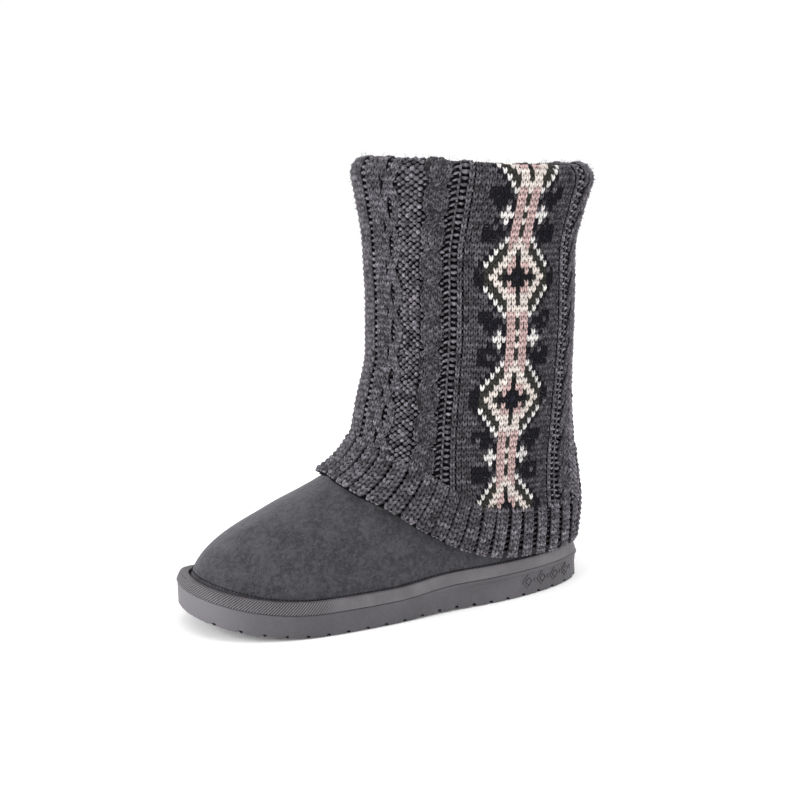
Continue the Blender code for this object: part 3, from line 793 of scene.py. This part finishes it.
# The band of diamonds, a letter a stitch: white, cream, pink, olive grey, black, navy, dusk, and
# a dot for the heather ground. Rows go down the leg and repeat.
DIAMONDS = (
    "DDOCCOKKKNKKKOCCODD",
    "DDOOCCOPKKKPOCCOODD",
    ".DWOOCCPPKPPCCOOWD.",
    "..DWOOCCCOCCCOOWD..",
    "...DWOOCCOCCOOWD...",
    "....DWOCCCCCOWD....",
    ".DDDD.WPPCPPW.DDDD.",
    ".DDDDD.PPOPP.DDDDD.",
    "..DDD.DPPOPPD.DDD..",
    "...D.WDPPCPPDW.D...",
    "....WWWPPOPPWWW....",
    "...D.WDPPCPPDW.D...",
    ".DDDD.DPPOPPD.DDDD.",
    ".DDDDD.PPOPP.DDDDD.",
    ".DDDD.WPPCPPW.DDDD.",
    "....DWOPCCCPOWD....",
    "...DWOOCCOCCOOWD...",
    "..DWOOCCCKPCCOOWD..",
    ".DWOOCCPPKPPCCOOWD.",
    "DDOOCCOPKKKPOCCOODD",
)
DIAMOND_WALES = 9
PANEL_WALES = 11
PANEL_WALE = 0.00325
FIRST_DIAMOND = 16
COURSE_START = -0.0005
COURSES_UP = 16
COURSES_DOWN = 72
TINT_LIMITS = (0.35, 1.9)

# The two cables: how far a strand swings and rises, the half width of its wales and the spacing.
CABLE_RISE = 0.0012
CABLE_LIFT = 0.0005
ROPE_TURN = 0.0406
ROPE_STEEP = 1.8
ROPE_SWING = 0.0031
ROPE_DEPTH = 0.0008
ROPE_HALF_WALE = 0.00142
ROPE_SPACING = 0.0026
FIRST_CROSS = 0.0247
LENS_LENGTH = 0.0265
LENS_SWING = 0.0041
LENS_DEPTH = 0.0006
LENS_HALF_WALE = 0.00130
LENS_SPACING = 0.0012
FIRST_LENS = 0.0178

# The hem's ribs, as shares of their pitch. Each pair is the value at the back and what is added
# to it in front, where the wales spread until the gap closes and lie flatter.
HEM_COURSE = 0.0035
HEM_TALL = 0.0037
HEM_FRONT_START = 0.095
HEM_FRONT_FADE = 0.045
HEM_LEG = (0.178, 0.080)
HEM_BESIDE = (0.157, 0.093)
HEM_CROWN = (45.0, -20.0)
# HEM_LIGHT is painted light: the ribs are painted lighter at the back, where the heel light falls,
# than in front.
HEM_LIGHT = (1.25, -0.3)

HAIR_COUNT = 3600
HAIR_LENGTH = (0.0018, 0.0040)
HAIR_THICK = 0.00007
HAIR_ROOT = 0.0008


def tinted(name, count, spread=0.26, light=1.0):
    """The yarn's colour for a number of stitches, each a little lighter or darker."""
    tint = np.tile(np.array(YARN[name]), (count, 1))
    tint[:, :3] *= light * np.clip(rng.normal(1.0, spread, (count, 1)), *TINT_LIMITS)
    return tint


def courses(places, offset=0.0):
    """Every course of some columns of the wall: the place and the distance down of each stitch."""
    rows = np.arange(-COURSES_UP, COURSES_DOWN) + offset
    place, row = [grid.ravel() for grid in np.meshgrid(np.atleast_1d(places), rows)]
    down = COURSE_START + row * COURSE
    end = np.interp(np.mod(place, GIRTH), column_places, hem_at, period=GIRTH) - RIB_BAND
    keep = (down < end + 0.3 * COURSE) & (down > -FOLD_LENGTH - 0.006)
    return place[keep], down[keep]


def legs_of(wide, tall, rise):
    """The two legs of a stitch, each from the middle at the bottom to its edge at the top."""
    share = (bead_verts[:, 2] + 1) / 2
    for side in (-1, 1):
        across = side * wide * (0.16 + 0.62 * share) + 0.52 * wide * bead_verts[:, 0]
        up = tall * (-0.32 + 1.42 * share)
        out = rise * np.sin(math.pi * share) ** 0.8 - 0.00045 + 0.52 * wide * bead_verts[:, 1]
        yield across, up, out


def plain(knitting, place, down, tints, wide, rise=0.00095, lift=0.0, drift=None):
    """Plain stitches, two legs each, shifted sideways and outwards by drift."""
    count = len(place)
    place = place + rng.normal(0, 0.00011, count)
    down = down + rng.normal(0, 0.00013, count)
    size = rng.normal(1.0, 0.07, (count, 1))
    for across, up, out in legs_of(wide, COURSE, rise):
        u = place[:, None] + across * size
        v = down[:, None] - up
        w = lift + out * size
        if drift:
            shift, height = drift(v)
            u, w = u + shift, w + height
        knitting.add(u, v, w, tints)


def bump_row(knitting, place, down, tints, long, thick, lift, bow, lean):
    """Purl bumps and bars, a bead each, lying across; lean raises the end nearer the front."""
    count = len(place)
    place = place + rng.normal(0, 0.00010, count)
    down = down + rng.normal(0, 0.00012, count)
    size = rng.normal(1.0, 0.12, (count, 1))
    along_bead = bead_verts[:, 2]
    hump = 1 - along_bead**2
    u = place[:, None] + long * along_bead * size - thick * bead_verts[:, 0] * lean
    v = down[:, None] - (thick * bead_verts[:, 0] + bow * hump + lean * long * along_bead) * size
    w = lift + (thick * bead_verts[:, 1] + 0.0004 * hump) * size
    knitting.add(u, v, w, tints)


def columns_between(first, last, pitch):
    """The middles of whole columns between two places, and how wide each is."""
    count = max(1, round(abs(last - first) / pitch))
    wide = abs(last - first) / count
    return min(first, last) + wide * (np.arange(count) + 0.5), wide


def knit_plain(knitting, first, last, lift):
    """Plain knitting between two places, in whole wales."""
    places, wide = columns_between(first, last, WALE)
    place, down = courses(places)
    tints = tinted("heather", len(place))
    plain(knitting, place, down, tints, wide=wide / 2, rise=0.0011, lift=lift)


def knit_bars(knitting, place, long, thick, lift, lean=0.0, offset=0.0, bow=0.0):
    """One column of bars that lie across, a bar each course."""
    place, down = courses(place, offset)
    tints = tinted("heather", len(place), light=1.25)
    bump_row(knitting, place, down, tints, long, thick, lift, bow, lean)


def knit_lattice(knitting, first, last, pitch, long, thick, lift, lean=0.0):
    """Short bumps between two places, each column half a course below the last."""
    places = columns_between(first, last, pitch)[0]
    for parity in (0, 1):
        place, down = courses(places[parity::2], 0.5 * parity)
        down = down + rng.normal(0, 0.0002, len(down))
        tints = tinted("heather", len(place), 0.3, 1.22)
        bump_row(knitting, place, down, tints, long, thick, lift, 0.0003, lean)


def knit_cord(knitting, middle, lift):
    """A single line of yarn that winds down the leg."""
    place, down = courses(middle, 0.5)
    tints = tinted("heather", len(place))
    rod = bead_verts[:, 2]
    size = rng.normal(1.0, 0.06, (len(place), 1))
    u = place[:, None] + (0.0008 * bead_verts[:, 0] + 0.0007 * (1 - rod**2) - 0.0003) * size
    v = down[:, None] + 0.0023 * rod * size
    w = lift + (0.0008 * bead_verts[:, 1] + 0.0003 * (1 - rod**2)) * size
    knitting.add(u, v, w, tints)


def knit_rope(knitting, middle):
    """Rope cable: two broad strands that twist round each other over a purl ground."""
    for turn in (0.0, 0.5):
        def drift(v, turn=turn):
            wave = 2 * math.pi * ((v - FIRST_CROSS) / ROPE_TURN + turn)
            swing = ROPE_SWING * np.tanh(ROPE_STEEP * np.sin(wave))
            return swing, ROPE_DEPTH * np.cos(wave) + CABLE_LIFT

        for beside in (-ROPE_SPACING, 0.0, ROPE_SPACING):
            place, down = courses(middle + beside, 0.5 * (beside == 0.0))
            tints = tinted("heather", len(place), 0.28, 0.68)
            plain(knitting, place, down, tints, ROPE_HALF_WALE, CABLE_RISE, 0.0001, drift)


def knit_oval(knitting, middle):
    """Open cable: two strands that part round a sunk lens and cross, over a purl ground."""
    for sign in (-1, 1):
        def drift(v, sign=sign):
            wave = math.pi * (v - FIRST_LENS) / LENS_LENGTH
            height = sign * LENS_DEPTH * np.sin(2 * wave) + CABLE_LIFT
            return sign * LENS_SWING * np.cos(wave), height

        for beside in (-LENS_SPACING, LENS_SPACING):
            place, down = courses(middle + beside)
            tints = tinted("heather", len(place), 0.28)
            plain(knitting, place, down, tints, LENS_HALF_WALE, CABLE_RISE, 0.0004, drift)


def knit_panel(knitting):
    """The band of diamonds on its plain ground, stitch by stitch."""
    wales = np.arange(-PANEL_WALES, PANEL_WALES + 1)
    place, down = courses(PANEL_FROM_BACK + wales * PANEL_WALE)
    wale = np.round((place - PANEL_FROM_BACK) / PANEL_WALE).astype(int)
    row = np.round((down - COURSE_START) / COURSE).astype(int) - FIRST_DIAMOND
    letters = np.array([
        DIAMONDS[r % len(DIAMONDS)][w + DIAMOND_WALES] if abs(w) <= DIAMOND_WALES else "."
        for w, r in zip(wale, row)
    ])
    for letter in np.unique(letters):
        here = letters == letter
        count = int(here.sum())
        if letter == ".":
            tints = tinted("heather", count, 0.24, 0.78)
        else:
            tints = tinted(letter, count, 0.05)
        if letter == "D":
            light = rng.random(count) < 0.1
            tints[light] = tinted("heather", int(light.sum()))
        plain(knitting, place[here], down[here], tints, wide=PANEL_WALE / 2)


def knit_ribs(knitting):
    """Ribs of the hem, square to it: two wales each, with rungs in the gap after each, painted dark
    as shade.
    """
    edge = on_knit(column_places, hem_at, 0 * hem_at)
    ahead = on_knit(column_places + 0.001, hem_at, 0 * hem_at)
    spread = np.linalg.norm(ahead - edge, axis=1) / 0.001
    spread = smoothed(spread[None], 3.0, 1)[0]
    steps = np.linalg.norm(np.roll(edge, -1, axis=0) - edge, axis=1)
    walked = np.concatenate([[0], np.cumsum(steps)])
    fall = (np.roll(hem_at, -3) - np.roll(hem_at, 3)) / (6 * GIRTH / COLUMNS * spread)
    fall = smoothed(fall[None], 4.0, 1)[0]
    pitch = walked[-1] / RIB_COUNT
    round_to = np.append(column_places, GIRTH)
    rod = bead_verts[:, 2]
    hump = 1 - rod**2
    for rib in range(RIB_COUNT):
        spot = float(np.interp((rib + 0.5) / RIB_COUNT * walked[-1], walked, round_to))
        end, slope, wide = [
            np.interp(spot, column_places, row, period=GIRTH) for row in (hem_at, fall, spread)
        ]
        square = 1 / math.hypot(1, slope)
        past_back = min(spot, GIRTH - spot)
        front = np.clip((past_back - HEM_FRONT_START) / HEM_FRONT_FADE, 0, 1)
        count = int(RIB_BAND * square / HEM_COURSE) + 2

        def here(pair):
            return pair[0] + pair[1] * front

        def lay(across_rib, up_rib, out, tints):
            place = spot + square * (across_rib + up_rib * slope) / wide
            knitting.add(place, end + square * (across_rib * slope - up_rib), out, tints)

        for beside in (-1, 1):
            up_row = HEM_COURSE * np.arange(count)[:, None] - 0.0006
            up_row = up_row + rng.normal(0, 0.0001, (count, 1))
            tints = tinted("heather", count, 0.3, here(HEM_LIGHT))
            for across, up, out in legs_of(here(HEM_LEG) * pitch, HEM_TALL, CABLE_RISE):
                a = beside * here(HEM_BESIDE) * pitch + across + 0 * up_row
                lay(a, up_row + up, out + 0.0011 - here(HEM_CROWN) * a**2, tints)

        # Rungs in the gap, painted dark as shade, and the loops at the hem's edge.
        rungs = HEM_COURSE * np.arange(count - 1)[:, None] + 0.0015
        rungs = rungs + rng.normal(0, 0.0002, (count - 1, 1))
        a = 0.5 * pitch + 0.2 * pitch * rod + 0 * rungs
        b = rungs + 0.0009 * bead_verts[:, 0] + 0.0004 * hump
        out = 0.0001 + 0.0008 * bead_verts[:, 1] - 0.0003 * hump + 0 * rungs
        lay(a, b, out, tinted("heather", count - 1, 0.2, 0.4))
        loops = (np.arange(3)[:, None] - 1) * 0.26 * pitch
        a = loops + 0.15 * pitch * rod
        b = -0.0009 + 0.0007 * bead_verts[:, 0] - 0.0005 * hump + 0 * loops
        out = 0.0009 + 0.0008 * bead_verts[:, 1] + 0.0003 * hump + 0 * loops
        lay(a, b, out, tinted("heather", 3, 0.2, 1.5))


def knit_fuzz(knitting, count):
    """Short hairs that stand off the knit."""
    place = rng.uniform(0, GIRTH, (count, 1))
    end = np.interp(place, column_places, hem_at, period=GIRTH)
    down = -0.02 + (end + 0.018) * rng.random((count, 1))
    lean = rng.normal(0, 0.6, (count, 2))
    long = rng.uniform(*HAIR_LENGTH, (count, 1))
    share = (bead_verts[:, 2] + 1) / 2
    bend = share**2 * rng.normal(0, 0.4, (count, 1))
    u = place + long * (lean[:, :1] * share + bend) + HAIR_THICK * bead_verts[:, 0]
    v = down + long * (lean[:, 1:] * share - bend) + HAIR_THICK * bead_verts[:, 1]
    w = HAIR_ROOT + long * share
    knitting.add(u, v, w, tinted("heather", count, 0.3, 1.5))


# Part of a stitch's square on the bake map: its margin, and the side of what is left.
CELL_MARGIN = 0.06
CELL_SIDE = 0.88


def made_up(knitting, name):
    """The gathered stitches as one mesh, each with its own square of the bake map."""
    points = np.concatenate(knitting.points)
    tints = np.concatenate(knitting.tints)
    count, corners = points.shape[:2]
    loops = np.concatenate(bead_faces)
    sizes = np.array([len(f) for f in bead_faces])
    mesh = bpy.data.meshes.new(name)
    mesh.vertices.add(count * corners)
    mesh.vertices.foreach_set("co", points.astype(np.float32).ravel())
    mesh.loops.add(count * len(loops))
    cells = np.arange(count)
    corner_at = loops[None] + corners * cells[:, None]
    mesh.loops.foreach_set("vertex_index", corner_at.astype(np.int32).ravel())
    mesh.polygons.add(count * len(sizes))
    starts = np.concatenate([[0], np.cumsum(sizes)[:-1]])
    start_at = starts[None] + len(loops) * cells[:, None]
    mesh.polygons.foreach_set("loop_start", start_at.astype(np.int32).ravel())
    mesh.update(calc_edges=True)
    across = math.ceil(math.sqrt(count))
    corner = np.stack([cells % across, cells // across], axis=-1)[:, None]
    spots = (corner + CELL_MARGIN + CELL_SIDE * bead_uv[None]) / across
    layer = mesh.uv_layers.new(name="OFBake")
    layer.uv.foreach_set("vector", spots.astype(np.float32).ravel())
    tint = mesh.attributes.new("yarn", "FLOAT_COLOR", "POINT")
    tint.data.foreach_set("color", tints.astype(np.float32).ravel())
    piece = bpy.data.objects.new(name, mesh)
    bpy.context.scene.collection.objects.link(piece)
    facing_out(piece)
    bpy.ops.object.shade_smooth()
    return piece


yarn = Finish("heather yarn", 0.9, **{"Specular IOR Level": 0.12})
yarn.put(yarn.shader, {"Sheen Weight": 0.08, "Sheen Roughness": 0.5})
dye = yarn.carried("yarn", "Color")
heather = yarn.carried("yarn", "Alpha")
fibre = yarn.between(yarn.cloud(900.0, 3.0, 0.7), 0.34, 0.66)
clump = yarn.between(yarn.cloud(330.0, 2.0, 0.6), 0.34, 0.66)
spark = yarn.between(yarn.cloud(620.0, 2.0, 0.7), 0.6, 0.7)
mottle = fibre * 1.1 + clump * 0.5 + spark * 0.7 + 0.06
yarn.colour(yarn.dim(dye, mottle * heather + (1 - heather)))
yarn.relief(yarn.cloud(2400.0, 3.0, 0.7), 0.0006)

gap_shade = Finish("painted shade in the gaps", 0.95, **{"Specular IOR Level": 0.1})
wisps = gap_shade.between(gap_shade.cloud(700.0, 3.0), 0.35, 0.7)
gap_shade.colour(gap_shade.blend(wisps, tone(5, 5, 7), tone(20, 19, 22)))
gap_shade.relief(gap_shade.cloud(900.0, 3.0), 0.0006)

# The tube under the stitches, which shows only as the dark between them; its near-black colour is
# painted shade. It is drawn in all over, and below the roll it is pushed down wherever it would
# still cover the stitches' face.
TUBE_DRAWN_IN = 0.0018
TUBE_DEPTH = 0.0013
ROLL_END = 0.012
tube = welded("knit_sleeve", "knit_backing")
bpy.ops.object.shade_smooth()
finish_with(tube, "DISPLACE", strength=-TUBE_DRAWN_IN, mid_level=0.0, direction="NORMAL")
face_tree = KDTree(ROWS * COLUMNS)
for i, spot in enumerate(face.reshape(-1, 3)):
    face_tree.insert(spot, i)
face_tree.balance()
for vert in tube.data.vertices:
    spot, i = face_tree.find(vert.co)[:2]
    away = Vector(face_out.reshape(-1, 3)[i])
    height = (vert.co - spot).dot(away) + TUBE_DEPTH
    if along[i // COLUMNS] > ROLL_END and vert.normal.dot(away) > 0.3 and height > 0:
        vert.co -= height * away
hand_over(tube, gap_shade.material, "heather_yarn", "knit_sleeve")

# Cables run away from a middle, at distances from it: slits, a rope and an open cable between
# moss stitch and plain wales, and a ditch where they meet those from the other side.
INNER_MIDDLE = 0.307
INNER_SHIFT = 0.014

# Of purl: pitch, half length and half thickness of the bumps. Of moss stitch: lift and lean too.
PURL = (0.0024, 0.0016, 0.0011)
MOSS = (0.0022, 0.0014, 0.0014, 0.0004, 0.5)
INNER_MOSS = (0.0024, 0.0015, 0.0011, 0.0004, 0.5)


def knit_cables(knitting, middle, sign, slit):
    """All the columns on one side of a middle; slit is how thick the bars of the slits are."""

    def at(distance):
        return middle + sign * distance

    def purl(first, last, lift):
        knit_lattice(knitting, at(first), at(last), *PURL, lift)

    knit_bars(knitting, at(0.0380), 0.0009, 0.0008, -0.0008)
    knit_plain(knitting, at(0.0384), at(0.0414), 0.0005)
    knit_bars(knitting, at(0.0434), 0.0024, slit, 0.0002, bow=-0.0005)
    knit_cord(knitting, at(0.0459), 0.0004)
    knit_bars(knitting, at(0.0482), 0.0023, 0.0008, -0.0002, lean=-0.5 * sign, offset=0.4)
    purl(0.0498, 0.0650, -0.0005)
    knit_rope(knitting, at(0.0574))
    knit_lattice(knitting, at(0.0650), at(0.0782), *MOSS)
    purl(0.0782, 0.0814, -0.0004)
    purl(0.0848, 0.0880, -0.0004)
    knit_bars(knitting, at(0.0831), 0.0011, 0.0011, -0.0001, offset=0.3)
    knit_oval(knitting, at(0.0831))
    knit_plain(knitting, at(0.0880), at(0.0974), 0.0006)
    knit_bars(knitting, at(0.0991), 0.0023, 0.0011, 0.0001)


band = Knitting()
knit_panel(band)
outer_front = Knitting()
# Painted light: the stitches at the back of the outer side are painted lighter, where the heel light
# falls.
outer_back = Knitting(1.3)
inner_front = Knitting()
inner_back = Knitting()
knit_cables(outer_front, PANEL_FROM_BACK, 1, 0.0012)
knit_cables(outer_back, PANEL_FROM_BACK, -1, 0.0008)
knit_cables(inner_front, INNER_MIDDLE + INNER_SHIFT, -1, 0.0012)
knit_cables(inner_back, INNER_MIDDLE, 1, 0.0010)
knit_plain(inner_front, 0.1998, 0.2202, 0.0008)

# The middle of the inner side: an open cable with plain wales and moss stitch on either side.
inner_middle = Knitting()
knit_lattice(inner_middle, 0.2835, 0.3005, *INNER_MOSS)
knit_plain(inner_middle, 0.3010, 0.3070, 0.0005)
knit_lattice(inner_middle, 0.3070, 0.3210, *PURL, -0.0005)
knit_oval(inner_middle, 0.3140)
knit_plain(inner_middle, 0.3210, 0.3270, 0.0005)
knit_lattice(inner_middle, 0.3275, 0.3445, *INNER_MOSS)
hem = Knitting()
knit_ribs(hem)
fuzz = Knitting()
knit_fuzz(fuzz, HAIR_COUNT)
for knitting, name in (
    (band, "knit_diamond_band"),
    (outer_front, "knit_outer_front"),
    (outer_back, "knit_outer_back"),
    (inner_front, "knit_inner_front"),
    (inner_back, "knit_inner_back"),
    (inner_middle, "knit_inner_middle"),
    (hem, "knit_hem_ribs"),
    (fuzz, "knit_fuzz"),
):
    hand_over(made_up(knitting, name), yarn.material, "heather_yarn")


# Seam: a row of small dark stitches where the suede goes under the welt, sewn before the sleeve
# goes over the shaft.

SEAM_PITCH = 0.0024
SEAM_LIFT = 0.0004
SEAM_HALF_LENGTH = 0.0009
SEAM_HALF_WIDTH = 0.00046
SEAM_AHEAD = 0.0004
SEAM_WINDOW = 13
SEAM_TURNS = np.radians(np.linspace(-179, 179, 480))

rim_turns = np.arctan2(spots[:, 1], spots[:, 0] - WELT_MIDDLE)
crown = np.array([spots[np.abs(rim_turns - turn) < 0.03, 2].max() for turn in SEAM_TURNS])
crown = np.pad(crown, SEAM_WINDOW // 2, mode="edge")
crown = np.convolve(crown, np.ones(SEAM_WINDOW) / SEAM_WINDOW, mode="valid") + SEAM_LIFT
seam_line = []
for turn, level in zip(SEAM_TURNS, crown):
    ray = Vector((math.cos(turn), math.sin(turn), 0))
    middle = Vector((WELT_MIDDLE, 0, level))
    seam_line.append(skin_tree.ray_cast(middle + RAY_START * ray, -ray)[0])
seam_line = np.array(seam_line)
walked = walked_along(seam_line)
places = np.arange(0.5, walked[-1] / SEAM_PITCH - 1) * SEAM_PITCH
middles = even_points(seam_line, places, walked)
ahead = even_points(seam_line, places + SEAM_AHEAD, walked) - middles
ahead /= np.linalg.norm(ahead, axis=1)[:, None]
outward = np.cross(ahead, [0, 0, 1])
outward *= np.sign(np.einsum("ij,ij->i", outward, middles - [WELT_MIDDLE, 0, 0]))[:, None]
seam = Knitting()
seam.points.append(
    middles[:, None]
    + SEAM_HALF_LENGTH * bead_verts[None, :, 2:] * ahead[:, None]
    + SEAM_HALF_WIDTH * bead_verts[None, :, :1] * outward[:, None]
    + SEAM_HALF_WIDTH * bead_verts[None, :, 1:2] * np.array([0, 0, 1])
)
seam_tint = np.array([*tone(22, 21, 24)[:3], 0.3])
seam.tints.append(np.tile(seam_tint, (len(places), len(bead_verts), 1)))
hand_over(made_up(seam, "welt_seam"), yarn.material, "suede")

bpy.context.view_layer.update()
